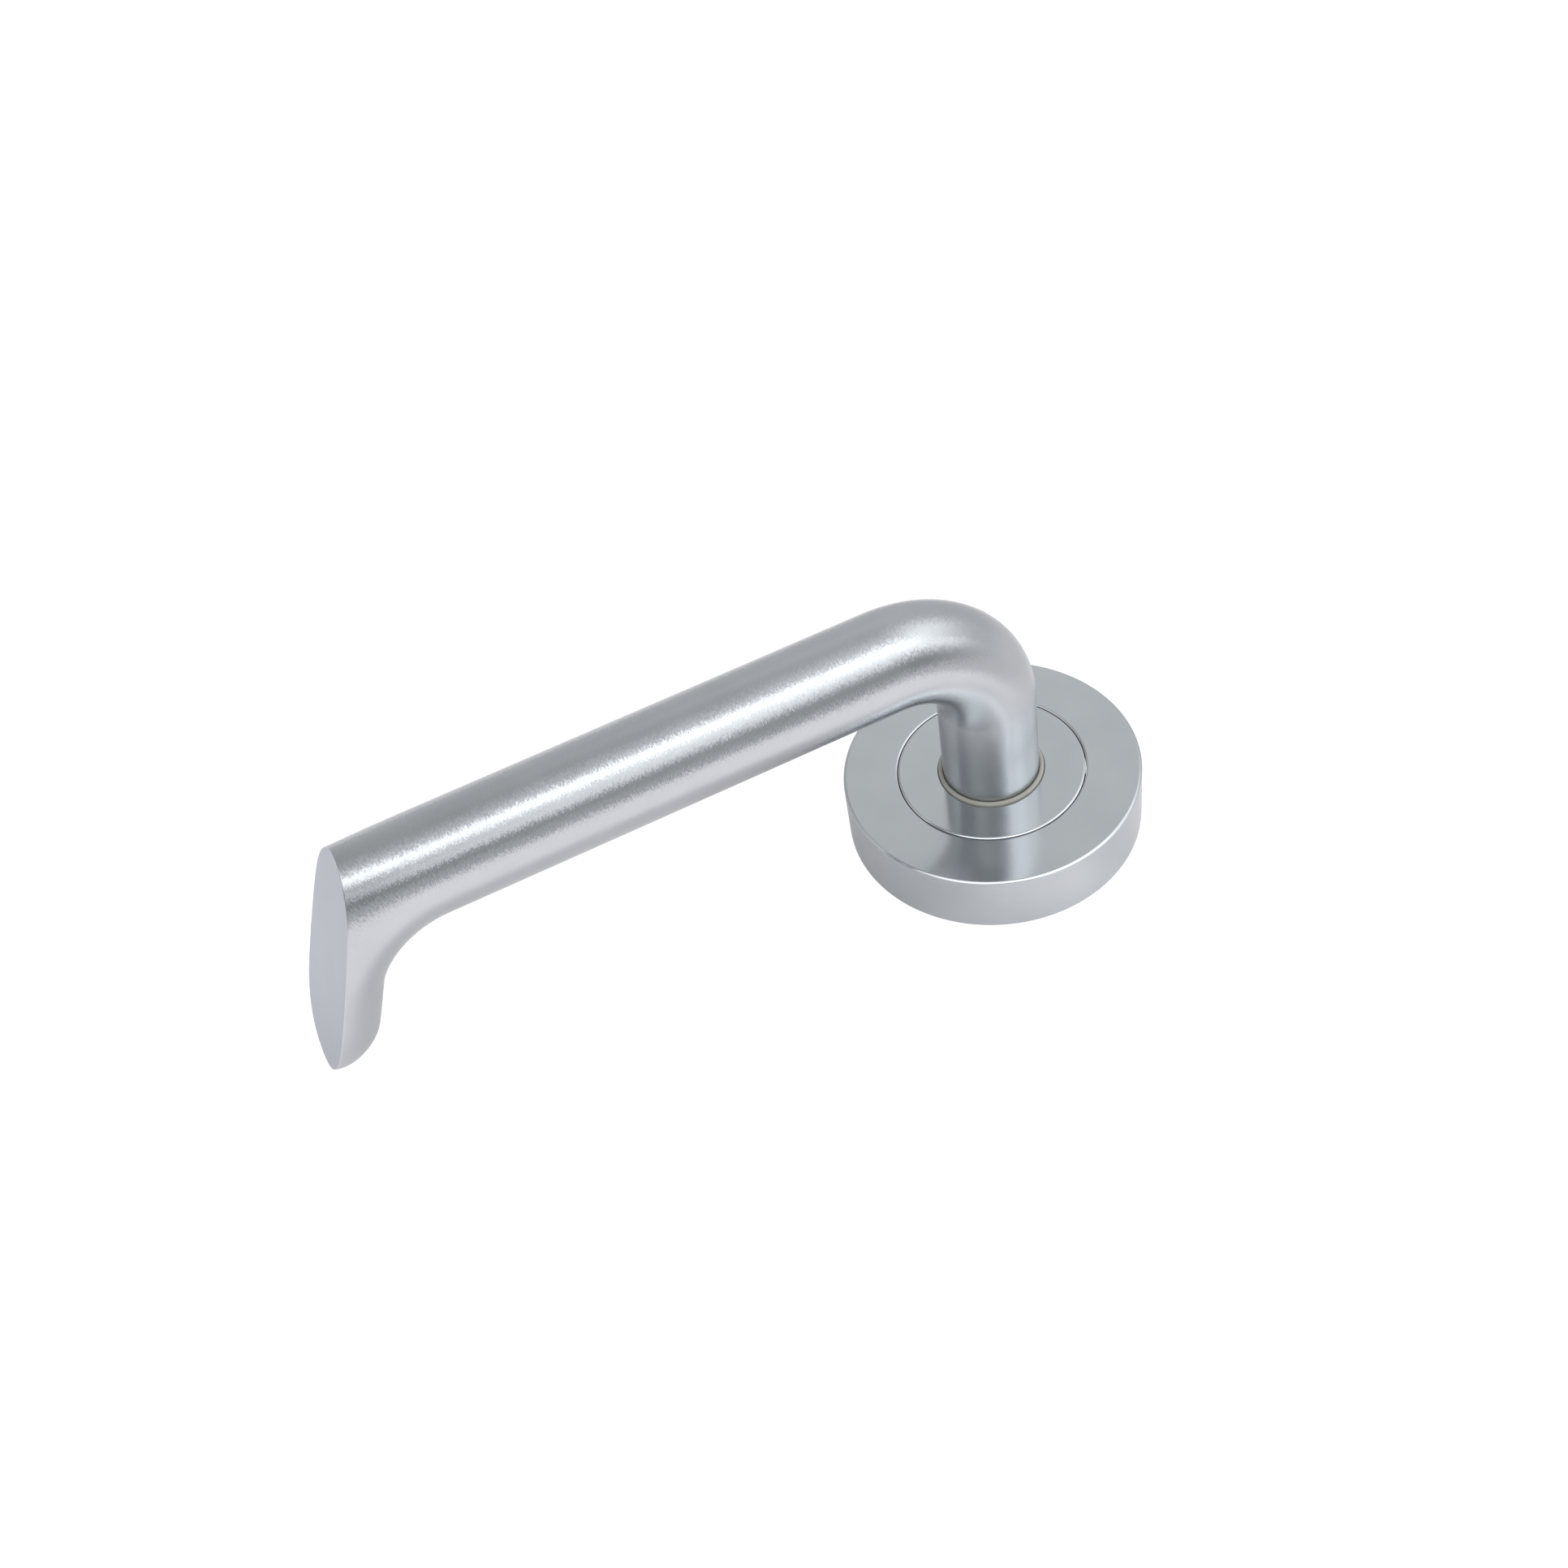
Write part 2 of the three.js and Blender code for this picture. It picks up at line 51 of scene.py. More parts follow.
BAR_R = 8.4
AXIS_Z = 47.3         # height of the grip's axis
BEND_R = 18.0         # the neck's bend, at the bar's axis
END_X = -110.6        # where the flat end crosses the grip's axis
END_TILT = math.radians(21)
END_BEND_R = 22.0
LEG_W = 9.7           # half width of the leg
LEG_D = 8.6           # its depth on the inner side
LEG_L = 32.5
LEG_W_ROUND = 13.0    # length over which the leg's width rounds off
LEG_W_POWER = 2.5     # and how squarely
LEG_D_ROUND = 8.5     # the same for its depth
LEG_D_POWER = 1.6
LEG_TOE = 0.19        # slope of the leg's lower end
LEG_TOE_FROM = 12.0
NECK_END_Z = 4.9
SOCKET_HALF = 4.3     # the spindle's square hole
SOCKET_TOP_Z = 26.0
GROOVE_R = 7.3        # the circlip's groove
GROOVE_Z = (5.55, 6.75)
GRUB_HOLE_R = 2.8
GRUB_Z = 19.0
END_TURN = math.pi / 2 - END_TILT
END_RUN = END_BEND_R * math.tan(END_TURN / 2)

# Fine shapes that only this model has, in mm
EDGE_R = 0.22         # rounding of the flat end's edge
EDGE_ROOM = 0.45      # the most of a row of faces that the rounding may take
NECK_CHAMFER = 0.3
GROOVE_EDGE = 0.08
SOCKET_EDGE = 0.4
FACET, FACET_DEPTH = 0.42, 0.24     # round the rose's top edge
SEAM_FACET, SEAM_DEPTH = 0.3, 0.14  # on both sides of the seam
SEAM_HALF_GAP = 0.25                # from the disc's CAD edge to the middle of the seam
SEAM_LIP = 0.07                     # half of the seam's opening
SHEET = 1.3
BUSH_R = 9.22
BUSH_PLAY = 0.03
BEAD_ROUND = 0.38
DISC_PLAY = 0.1
FLANGE_T = 0.9

# How finely the lever is divided
HALF_LINES = 56   # lines along the outer quarter of the bar
INNER_LINES = 96  # lines along the inner half
NECK_ROWS = 44
NECK_BEND_ROWS = 56
GRIP_ROWS = 110
BEND_ROWS = 56
LEG_ROWS = 48
FACE_COLUMNS = 10
EDGE_STEPS = 4
ROUNDING_STEPS = 5
BISECTIONS = 60
# Edges that turn by more than this stay sharp, in degrees
LEVER_SHARP_ANGLE = 42
LATHE_SHARP_ANGLE = 40
CAD_SHARP_ANGLE = 32

# ---------- colours and scratches ----------

WHITE = (1.0, 1.0, 1.0)
STEEL_DARK = (0.50, 0.518, 0.54)
STEEL_LIGHT = (0.56, 0.577, 0.60)
ROSE_DARK = (0.56, 0.588, 0.61)
ROSE_LIGHT = (0.61, 0.638, 0.66)
# The flat end's steel is painted darker than the bar's: painted shade for the dimmer surroundings
# it mirrors.
FACE_SHADED_DARK = (0.235, 0.267, 0.313)
FACE_SHADED_LIGHT = (0.257, 0.29, 0.338)
NYLON_DARK = (0.42, 0.415, 0.37)
NYLON_LIGHT = (0.52, 0.515, 0.46)
NOISE_SPAN = (0.3, 0.7)  # the part of a noise's range that is used
# Noise scales along the bar and round it, per metre
SCRATCH_SCALE = (6500, 1900, 1900)
GRAIN_SCALE = (12000, 5400, 5400)
CLOUD_SCALE = (90, 120, 120)
SCRATCH_LEAN = 0.29
GRAIN_SHARE = 0.5
GRAIN_LEAN_ALONG = SCRATCH_LEAN * 0.6
# Noise scales of the rose's turned circles: outwards, round, and down its wall
TURNING_ACROSS = 5000.0
TURNING_ROUND = 1.5
TURNING_DOWN = 4000.0

# ---------- light, in units of the white floor ----------

SKY = 0.64
# Softbox straight above the front: corners (x, y) at a height of 1, clockwise from above.
SOFTBOX = [(-0.59, 0.06), (0.36, -0.33), (0.37, -0.35), (0.25, -2.02)]
SOFTBOX_LIGHT = 0.92
SOFTBOX_EDGE = 0.08
LOWEST_HEIGHT = 0.02  # keeps directions near the horizon finite
# Further lights and shades: azimuth and elevation in degrees, tightness, strength.
LIGHTS = [
    (-50, 51, 23, 1.57),
    (-31, 25, 63, 0.84),
    (-89, 53, 67, -0.95),
    (-98, 26, 68, -0.47),
    (-173, 56, 4, -0.36),
    (92, 50, 11, -0.45),
    (-164, 70, 28, 0.83),
    (1, 48, 17, 0.91),
    (-63, 14, 36, -0.34),
    (-110, 58, 40, -0.54),
    (152, 57, 11, 0.50),
    (62, 20, 9, 0.07),
    (77, 47, 19, 0.39),
    (-85, 70, 44, 0.79),
]
SKY_TINT = (1.0, 1.015, 1.02)

# The floor's own white and glow, first as the metal mirrors it, then as the camera sees it.
FLOOR_WHITE = 0.66
FLOOR_CLOUD = 0.005
FLOOR_GLOW = 0.62
FLOOR_TINT = (1.0, 0.93, 0.965)
FLOOR_WHITE_SEEN = 0.15
FLOOR_GLOW_SEEN = 0.95
FLOOR_SIZE = 6.0
FLOOR_ROWS = 24
# Places where the floor glows less, as painted shade and shadow: where a fade starts and ends, in
# metres, and what remains.
FLOOR_FRONT = (-0.16, -0.5, 0.82)
FLOOR_BACK = (0.07, 0.15, 0.35)
FLOOR_RIGHT = (0.03, 0.075, 0.4)
FLOOR_UNDER = (1.0, 0.45, 0.42)  # in radii of an oval under the grip
OVAL_X = (8.5, 0.45)             # the oval's scale along X and its middle's shift
OVAL_Y = 16.0
# To the left and right of the rose and near it
ASIDE_SHIFT = 0.006
FLOOR_ASIDE = (0.008, 0.022)
FLOOR_NEAR = (0.06, 0.035)
FLOOR_BESIDE_REST = 0.55

# ---------- camera ----------

LENS = 42.633  # mm, on a 36 mm sensor
CAMERA_AT = (-0.097105, -0.194433, 0.255982)
CAMERA_TURN = (41.41058, 7.54611, -25.43760)  # degrees


def lerp(a, b, t):
    return a + (b - a) * t


def clamp(v, low=0.0, high=1.0):
    return max(low, min(high, v))


def smoothstep(t):
    t = clamp(t)
    return t * t * (3 - 2 * t)


def curve(start, corner, end, t):
    """A point on the arc from start to end whose tangents there run through the corner."""
    return start * (1 - t) ** 2 + corner * (2 * t * (1 - t)) + end * t**2


# ---------- mesh helpers ----------


def new_object(name, mesh, materials, body, replaced):
    """A piece that rides on a body in place of the CAD nodes it replaces."""
    obj = bpy.data.objects.new(name, mesh)
    bpy.context.scene.collection.objects.link(obj)
    for material in materials:
        mesh.materials.append(material)
    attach(obj, body)
    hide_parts(*replaced)
    return obj


def smooth_by_angle(mesh, degrees):
    """Smooth faces, with a sharp edge wherever the surface turns by more than an angle."""
    bm = bmesh.new()
    bm.from_mesh(mesh)
    limit = math.radians(degrees)
    for face in bm.faces:
        face.smooth = True
    for edge in bm.edges:
        edge.smooth = len(edge.link_faces) == 2 and edge.calc_face_angle(0.0) < limit
    bm.to_mesh(mesh)
    bm.free()


def weight_normals(obj):
    """Large flat faces keep their own direction beside small rounded edges."""
    modifier = obj.modifiers.new("flat faces stay flat", "WEIGHTED_NORMAL")
    modifier.keep_sharp = True
    modifier.weight = 90


def rounded(corners):
    """A closed outline of (r, z, rounding) corners with each corner rounded."""
    points = []
    for i, (r, z, rounding) in enumerate(corners):
        here = Vector((r, z))
        if rounding <= 0:
            points.append(here)
            continue
        before = Vector(corners[i - 1][:2])
        after = Vector(corners[(i + 1) % len(corners)][:2])
        start = here + (before - here).normalized() * rounding
        end = here + (after - here).normalized() * rounding
        points += [curve(start, here, end, k / ROUNDING_STEPS) for k in range(ROUNDING_STEPS + 1)]
    return points


def finished_mesh(bm, name):
    """The mesh made from a bmesh, which is let go."""
    mesh = bpy.data.meshes.new(name)
    bm.to_mesh(mesh)
    bm.free()
    return mesh


def lathe_mesh(name, corners, sides):
    """A turned ring about the Z axis. Corners are (r, z, rounding) in mm, anticlockwise."""
    outline = rounded(corners)
    bm = bmesh.new()
    rows = []
    for j in range(sides):
        a = 2 * math.pi * j / sides
        rows.append([
            bm.verts.new((p.x * math.cos(a) * MM, p.x * math.sin(a) * MM, p.y * MM))
            for p in outline
        ])
    for here, there in zip(rows, rows[1:] + rows[:1]):
        for i in range(len(outline)):
            k = (i + 1) % len(outline)
            bm.faces.new((here[i], there[i], there[k], here[k]))
    bm.normal_update()
    mesh = finished_mesh(bm, name)
    smooth_by_angle(mesh, LATHE_SHARP_ANGLE)
    return mesh


# ---------- materials ----------


class Nodes:
    """Short forms for building a node tree."""

    def __init__(self, tree):
        self.tree = tree

    def node(self, kind, inputs=None, **settings):
        made = self.tree.nodes.new(kind)
        for key, value in settings.items():
            setattr(made, key, value)
        for key, value in (inputs or {}).items():
            self.feed(made.inputs[key], value)
        return made

    def feed(self, socket, value):
        if isinstance(value, bpy.types.NodeSocket):
            self.tree.links.new(value, socket)
        else:
            socket.default_value = value

    def math(self, operation, *values):
        return self.node("ShaderNodeMath", dict(enumerate(values)), operation=operation).outputs[0]

    def blend(self, share, a, b):
        """A share of one value and the rest of another."""
        rest = self.math("MULTIPLY", b, 1 - share)
        return self.math("ADD", self.math("MULTIPLY", a, share), rest)

    def ramp(self, value, low, high, out_low, out_high):
        span = {"From Min": low, "From Max": high, "To Min": out_low, "To Max": out_high}
        return self.node("ShaderNodeMapRange", {"Value": value, **span}).outputs[0]

    def smooth(self, value, low, high):
        """0 below low, 1 above high, smooth between; low may be the larger."""
        inputs = {"Value": value, "From Min": low, "From Max": high, "To Min": 0.0, "To Max": 1.0}
        return self.node("ShaderNodeMapRange", inputs, interpolation_type="SMOOTHSTEP").outputs[0]

    def fade(self, value, start, end, rest):
        """1 up to start, falling smoothly to the rest from end on."""
        return self.ramp(self.smooth(value, start, end), 0, 1, 1.0, rest)

    def noise(self, vector, scale=1.0, detail=2.0, roughness=0.5):
        inputs = {"Vector": vector, "Scale": scale, "Detail": detail, "Roughness": roughness}
        return self.node("ShaderNodeTexNoise", inputs).outputs["Fac"]

    def scaled(self, vector, scale):
        return self.node("ShaderNodeMapping", {"Vector": vector, "Scale": scale}).outputs[0]

    def vector(self, operation, *values, scale=None):
        made = self.node("ShaderNodeVectorMath", dict(enumerate(values)), operation=operation)
        if scale is not None:
            self.feed(made.inputs["Scale"], scale)
        return made.outputs[0]

    def vector_number(self, operation, *values):
        """The number that a vector operation gives: a length or a dot product."""
        made = self.node("ShaderNodeVectorMath", dict(enumerate(values)), operation=operation)
        return made.outputs["Value"]

    def xyz(self, vector):
        return self.node("ShaderNodeSeparateXYZ", {0: vector}).outputs

    def from_xyz(self, x=0.0, y=0.0, z=0.0):
        return self.node("ShaderNodeCombineXYZ", {0: x, 1: y, 2: z}).outputs[0]

    def colour(self, red, green, blue):
        return self.node("ShaderNodeCombineColor", {0: red, 1: green, 2: blue}).outputs[0]

    def colour_between(self, factor, a, b):
        made = self.node("ShaderNodeMix", data_type="RGBA")
        self.feed(made.inputs["Factor"], factor)
        for end, colour in (("A", a), ("B", b)):
            self.feed(made.inputs[end], (*colour, 1) if isinstance(colour, tuple) else colour)
        return made.outputs["Result"]

    def seen_by_camera(self):
        return self.node("ShaderNodeLightPath").outputs["Is Camera Ray"]


class Material(Nodes):
    """A material with one shader, whose sockets are set by name."""

    def __init__(self, name, **sockets):
        self.material = bpy.data.materials.new(name)
        self.material.use_nodes = True
        super().__init__(self.material.node_tree)
        self.bsdf = self.tree.nodes["Principled BSDF"]
        for socket, value in sockets.items():
            self.bsdf.inputs[socket.replace("_", " ")].default_value = value

    def set(self, socket, value):
        self.feed(self.bsdf.inputs[socket], value)

    def place(self):
        return self.node("ShaderNodeTexCoord").outputs["Object"]

    def attribute(self, name):
        return self.node("ShaderNodeAttribute", attribute_name=name).outputs["Vector"]

    def set_colour(self, tone, dark, light):
        share = self.ramp(tone, *NOISE_SPAN, 0, 1)
        self.set("Base Color", self.colour_between(share, dark, light))

    def set_roughness(self, tone, low, high):
        self.set("Roughness", self.ramp(tone, *NOISE_SPAN, low, high))

    def set_bump(self, height, strength, distance):
        inputs = {"Height": height, "Strength": strength, "Distance": distance}
        self.set("Normal", self.node("ShaderNodeBump", inputs).outputs[0])


def bar_steel():
    """Satin steel of the bar: short scratches across it, over a faint cloudiness."""
    m = Material("bar_satin_steel", Metallic=1.0, Anisotropic=0.85)
    brush = m.attribute("brush")
    scratch = m.noise(m.scaled(brush, SCRATCH_SCALE), 1.0, 2.0, 0.6)
    grain = m.noise(m.scaled(brush, GRAIN_SCALE), 1.0, 2.0, 0.6)
    cloud = m.noise(m.scaled(brush, CLOUD_SCALE), 1.0, 3.0, 0.55)
    tone = m.blend(0.6, cloud, scratch)
    m.set_colour(tone, STEEL_DARK, STEEL_LIGHT)
    m.set_roughness(tone, 0.2, 0.24)
    # Each scratch leans its own way round the bar, so the edges of reflections break up.
    tangent = m.node("ShaderNodeTangent", direction_type="UV_MAP", uv_map="bar").outputs[0]
    normal = m.node("ShaderNodeNewGeometry").outputs["Normal"]
    m.set("Tangent", tangent)
    round_bar = m.vector("CROSS_PRODUCT", normal, tangent)
    scratch, grain = m.math("SUBTRACT", scratch, 0.5), m.math("SUBTRACT", grain, 0.5)
    lean = m.math("ADD", scratch, m.math("MULTIPLY", grain, GRAIN_SHARE))
    across = m.vector("SCALE", round_bar, scale=m.math("MULTIPLY", lean, SCRATCH_LEAN))
    along = m.vector("SCALE", tangent, scale=m.math("MULTIPLY", grain, GRAIN_LEAN_ALONG))
    leaning = m.vector("ADD", m.vector("ADD", normal, across), along)
    m.set("Normal", m.vector("NORMALIZE", leaning))
    return m.material


def flat_steel():
    """Ground face of the lever's end: faint straight lines and a soft cloud, on steel painted
    darker than the bar's as painted shade.
    """
    m = Material("end_satin_steel", Metallic=1.0)
    place = m.place()
    lines = m.noise(m.scaled(place, (500, 3600, 500)), 1.0, 3.0, 0.6)
    cloud = m.noise(m.scaled(place, (120, 120, 120)), 1.0, 3.0, 0.5)
    tone = m.blend(0.6, cloud, lines)
    # Painted shade: the face's colours are darker than the bar's steel.
    m.set_colour(tone, FACE_SHADED_DARK, FACE_SHADED_LIGHT)
    m.set_roughness(tone, 0.22, 0.28)
    m.set_bump(lines, 0.05, 0.00004)
    return m.material


def turned_steel():
    """Rose plates, turned in very fine circles about the spindle."""
    m = Material("rose_turned_steel", Metallic=1.0)
    place = m.place()
    x, y, z = m.xyz(place)
    radius = m.math("SQRT", m.math("ADD", m.math("POWER", x, 2.0), m.math("POWER", y, 2.0)))
    round_x = m.math("MULTIPLY", m.math("DIVIDE", x, radius), TURNING_ROUND)
    round_y = m.math("MULTIPLY", m.math("DIVIDE", y, radius), TURNING_ROUND)
    polar = m.from_xyz(
        m.math("MULTIPLY", radius, TURNING_ACROSS), round_x,
        m.math("ADD", round_y, m.math("MULTIPLY", z, TURNING_DOWN)),
    )
    circles = m.noise(polar, 1.0, 3.0, 0.6)
    cloud = m.noise(m.scaled(place, (110, 110, 110)), 1.0, 3.0, 0.5)
    tone = m.blend(0.8, cloud, circles)
    m.set_colour(tone, ROSE_DARK, ROSE_LIGHT)
    m.set_roughness(tone, 0.12, 0.16)
    m.set_bump(circles, 0.03, 0.00002)
    return m.material


def cast_metal(name, dark, light, roughness, metallic, grain):
    """Plated, oxidised or cast metal with a fine grain and slight clouding."""
    m = Material(name, Metallic=metallic)
    place = m.place()
    fine = m.noise(place, grain, 4.0, 0.6)
    cloud = m.noise(place, 260.0, 3.0, 0.5)
    m.set_colour(m.blend(0.6, cloud, fine), dark, light)
    m.set_roughness(fine, roughness - 0.06, roughness + 0.08)
    m.set_bump(fine, 0.12, 0.00005)
    return m.material


def nylon():
    """Natural nylon, slightly yellow, with a fine moulded grain."""
    m = Material("bush_nylon", IOR=1.53)
    place = m.place()
    fine = m.noise(place, 2600.0, 3.0, 0.6)
    cloud = m.noise(place, 240.0, 3.0, 0.5)
    m.set("Base Color", m.colour_between(cloud, NYLON_DARK, NYLON_LIGHT))
    m.set_roughness(fine, 0.32, 0.42)
    m.set_bump(fine, 0.08, 0.00004)
    return m.material


def floor_glow(m, place):
    """How strongly the floor glows in the metal: less to the sides, and less under the grip and
    round the rose as painted shadows of the lever.
    """
    x, y, _ = m.xyz(place)
    oval = m.from_xyz(m.math("MULTIPLY_ADD", x, *OVAL_X), m.math("MULTIPLY", y, OVAL_Y))
    # Painted shadow: the glow dips in an oval under the grip, where the lever shades the floor.
    under = m.fade(m.vector_number("LENGTH", oval), *FLOOR_UNDER)
    aside = m.smooth(m.math("ABSOLUTE", m.math("ADD", x, ASIDE_SHIFT)), *FLOOR_ASIDE)
    near = m.smooth(m.vector_number("LENGTH", place), *FLOOR_NEAR)
    # Painted shade: the glow dips beside and near the rose.
    beside = m.ramp(m.math("MULTIPLY", aside, near), 0, 1, 1.0, FLOOR_BESIDE_REST)
    front, back, right = m.fade(y, *FLOOR_FRONT), m.fade(y, *FLOOR_BACK), m.fade(x, *FLOOR_RIGHT)
    glow = FLOOR_GLOW
    for share in (front, under, beside, right, back):
        glow = m.math("MULTIPLY", share, glow)
    return glow


def painted_floor():
    """White sheet. The metal mirrors an uneven glow of it, and the camera sees it plain white."""
    m = Material("floor_white", Roughness=0.9)
    m.set("Specular IOR Level", 0.0)
    place = m.place()
    whites = (FLOOR_WHITE - FLOOR_CLOUD, FLOOR_WHITE + FLOOR_CLOUD)
    cloud = m.ramp(m.noise(place, 9.0, 2.0, 0.5), *NOISE_SPAN, *whites)
    # Painted shade: the floor's white is darker towards the front, where the studio is dim.
    white = m.math("MULTIPLY", cloud, m.fade(m.xyz(place)[1], *FLOOR_FRONT))
    seen = m.seen_by_camera()
    white = m.math("MULTIPLY_ADD", seen, FLOOR_WHITE_SEEN - FLOOR_WHITE, white)
    m.set("Base Color", m.colour(white, white, white))
    m.set("Emission Color", m.colour_between(seen, FLOOR_TINT, WHITE))
    m.set("Emission Strength", m.ramp(seen, 0, 1, floor_glow(m, place), FLOOR_GLOW_SEEN))
    return m.material


# ---------- the lever ----------


def round_off(along, length, power):
    """Narrows the leg over its last length: 1 before it, 0 at the leg's end."""
    share = clamp((along - LEG_L + length) / length)
    return max(0.0, 1 - share**power) ** (1 / power)


def bar_station(turn, along=0.0):
    """Centre, heading and half sizes of the bar's section in and below its end bend."""
    if along > 0:
        x = END_X - math.sin(END_TILT) * along
        z = AXIS_Z - math.cos(END_TILT) * along
    else:
        x = END_X + END_RUN - END_BEND_R * math.sin(turn)
        z = AXIS_Z - END_BEND_R * (1 - math.cos(turn))
    blend = smoothstep(turn / END_TURN)
    width = lerp(BAR_R, LEG_W, blend) * round_off(along, LEG_W_ROUND, LEG_W_POWER)
    inside = lerp(BAR_R, LEG_D, blend) * round_off(along, LEG_D_ROUND, LEG_D_POWER)
    outside = (AXIS_Z + BAR_R - z) / math.cos(turn)
    toe = LEG_TOE * clamp((along - LEG_TOE_FROM) / (LEG_L - LEG_TOE_FROM)) ** 2
    return x, z, math.pi / 2 + turn, width, inside, outside, toe


def bar_point(station, angle):
    """A point on the section's edge. Angle 0 is on the outside of the bends."""
    x, z, heading, width, inside, outside, toe = station
    out = math.cos(angle) * (outside if math.cos(angle) > 0 else inside)
    down = max(0.0, -out) * toe
    return Vector((
        x + out * math.cos(heading) - down * math.sin(END_TILT),
        width * math.sin(angle),
        z + out * math.sin(heading) - down * math.cos(END_TILT),
    ))


def plane_distance(x, z):
    """How far a point stands on the lever's side of its flat end."""
    return (x - END_X) * math.cos(END_TILT) - (z - AXIS_Z) * math.sin(END_TILT)


def rim_angle(turn):
    """Where the section at a turn meets the flat end, and how far outside the section that is."""
    x, z, _, _, _, outside, _ = bar_station(turn)
    out = plane_distance(x, z) / math.sin(END_TILT + turn)
    return math.acos(clamp(out / outside, -1, 1)), out - outside


def first_turn():
    """The turn at which the bar's top line meets the flat end."""
    low, high = 0.0, END_TURN
    for _ in range(BISECTIONS):
        middle = (low + high) / 2
        if rim_angle(middle)[1] > 0:
            low = middle
        else:
            high = middle
    return high


class LeverSkin:
    """The bent bar as one closed mesh. Each row of vertices goes once round the bar."""

    def __init__(self):
        self.bm = bmesh.new()
        self.brush = self.bm.verts.layers.float_vector.new("brush")
        self.uv = self.bm.loops.layers.uv.new("bar")
        # Angles of the lines along the bar: the outer half, then the inner half.
        self.outer = [math.pi / 2 * j / HALF_LINES for j in range(-HALF_LINES, HALF_LINES + 1)]
        self.inner = [math.pi / 2 + math.pi * j / INNER_LINES for j in range(1, INNER_LINES)]

    def vertex(self, point, along, angle):
        """A vertex that knows its place on the straightened bar, for the brushing."""
        made = self.bm.verts.new(point * MM)
        made[self.brush] = (along * MM, BAR_R * math.cos(angle) * MM, BAR_R * math.sin(angle) * MM)
        return made

    def copy(self, spot, source):
        made = self.bm.verts.new(spot)
        made[self.brush] = source[self.brush]
        return made

    def quads(self, here, there, closed):
        """Faces between two rows."""
        for j in range(len(here) - (not closed)):
            k = (j + 1) % len(here)
            self.bm.faces.new((here[j], here[k], there[k], there[j]))

    def circle(self, x, z, heading, radius, along):
        return [self.vertex(Vector((
            x + radius * math.cos(a) * math.cos(heading),
            radius * math.sin(a),
            z + radius * math.cos(a) * math.sin(heading),
        )), along, a) for a in self.outer + self.inner]

    def neck_and_grip(self):
        """Rows of the neck with its groove, its bend and the grip; how far along they end."""
        low, high = GROOVE_Z
        neck = [
            (NECK_END_Z, BAR_R - NECK_CHAMFER), (NECK_END_Z + 0.08, BAR_R - 0.1),
            (NECK_END_Z + NECK_CHAMFER, BAR_R),
            (low - GROOVE_EDGE, BAR_R), (low, BAR_R - GROOVE_EDGE), (low, GROOVE_R),
            (high, GROOVE_R), (high, BAR_R - GROOVE_EDGE), (high + GROOVE_EDGE, BAR_R),
        ]
        bend_z = AXIS_Z - BEND_R
        for i in range(1, NECK_ROWS):
            neck.append((lerp(high + GROOVE_EDGE, bend_z, i / NECK_ROWS), BAR_R))
        rows = [self.circle(0, z, 0, radius, z) for z, radius in neck]
        for i in range(NECK_BEND_ROWS + 1):
            heading = math.pi / 2 * i / NECK_BEND_ROWS
            x = -BEND_R * (1 - math.cos(heading))
            z = bend_z + BEND_R * math.sin(heading)
            rows.append(self.circle(x, z, heading, BAR_R, bend_z + BEND_R * heading))
        along = bend_z + BEND_R * math.pi / 2
        grip = END_X + END_RUN + BEND_R
        for i in range(1, GRIP_ROWS + 1):
            share = i / GRIP_ROWS
            rows.append(self.circle(
                -BEND_R + grip * share, AXIS_Z, math.pi / 2, BAR_R, along - grip * share,
            ))
        return rows, along - grip

    def end_bend(self, along):
        """Rows of the end bend. Outer lines stop at the flat end, inner ones reach the leg."""
        top_turn = first_turn()
        stops = []
        for j in range(-HALF_LINES, HALF_LINES + 1):
            turn = lerp(top_turn, END_TURN, (j / HALF_LINES) ** 2)
            stops.append((turn, math.copysign(rim_angle(turn)[0], j) if j else 0.0))
        rows = []
        for i in range(1, BEND_ROWS + 1):
            share = i / BEND_ROWS
            lines = [
                (stop_turn * share, lerp(start, stop_angle, smoothstep(share)))
                for start, (stop_turn, stop_angle) in zip(self.outer, stops)
            ]
            lines += [(END_TURN * share, angle) for angle in self.inner]
            rows.append([
                self.vertex(bar_point(bar_station(turn), angle), along + END_BEND_R * turn, angle)
                for turn, angle in lines
            ])
        return rows

    def leg(self, top, along):
        """Rows of the leg, the first being the inner side of the bar's last row, and the tip."""
        angles = [math.pi / 2, *self.inner, math.pi * 1.5]
        rows = [top]
        for i in range(1, LEG_ROWS):
            down = lerp(END_RUN, LEG_L, math.sin(math.pi / 2 * i / LEG_ROWS))
            station = bar_station(END_TURN, down)
            rows.append([
                self.vertex(bar_point(station, a), along + down - END_RUN, a) for a in angles
            ])
        for here, there in zip(rows, rows[1:]):
            self.quads(here, there, closed=False)
        end = bar_point(bar_station(END_TURN, LEG_L), math.pi)
        tip = self.vertex(end, along + LEG_L - END_RUN, math.pi)
        for here, there in zip(rows[-1], rows[-1][1:]):
            self.bm.faces.new((here, there, tip))
        return rows, tip

